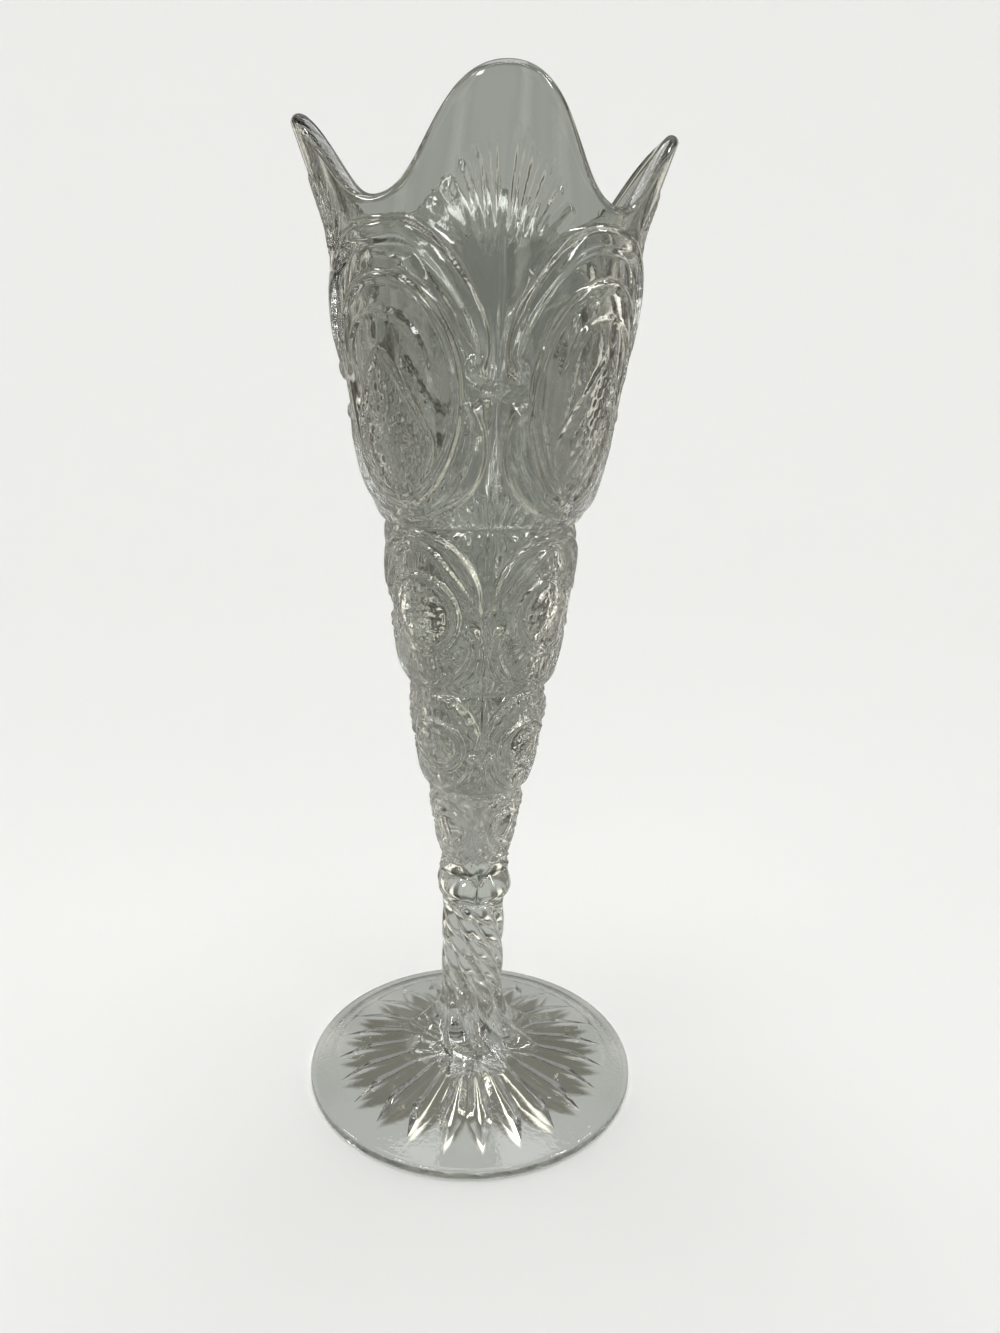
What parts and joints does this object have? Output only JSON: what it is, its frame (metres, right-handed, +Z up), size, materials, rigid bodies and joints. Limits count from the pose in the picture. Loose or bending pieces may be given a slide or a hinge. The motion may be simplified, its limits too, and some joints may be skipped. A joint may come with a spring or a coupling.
{
  "type": "bud vase",
  "caption": "Pressed clear glass bud vase: star foot, twisted stem, beaded collar and a slim tiered bowl that opens into a petal rim for a flower stem.",
  "frame": {"origin": "on the floor, under the middle of the round foot", "axes": "+Z runs up the axis of the vase, from the foot to the petal rim; -Y is the front, up the seam of one petal; +X is to the right"},
  "size_m": [0.093, 0.093, 0.2515],
  "materials": {
    "foot_glass": "clear, fire polished",
    "stem_glass": "clear, fire polished",
    "collar_glass": "clear, fire polished",
    "bowl_glass": "clear, pressed pattern"
  },
  "bodies": {
    "root": {"foot": "foot_glass", "stem": "stem_glass", "collar": "collar_glass", "bowl": "bowl_glass"}
  },
  "joints": []
}
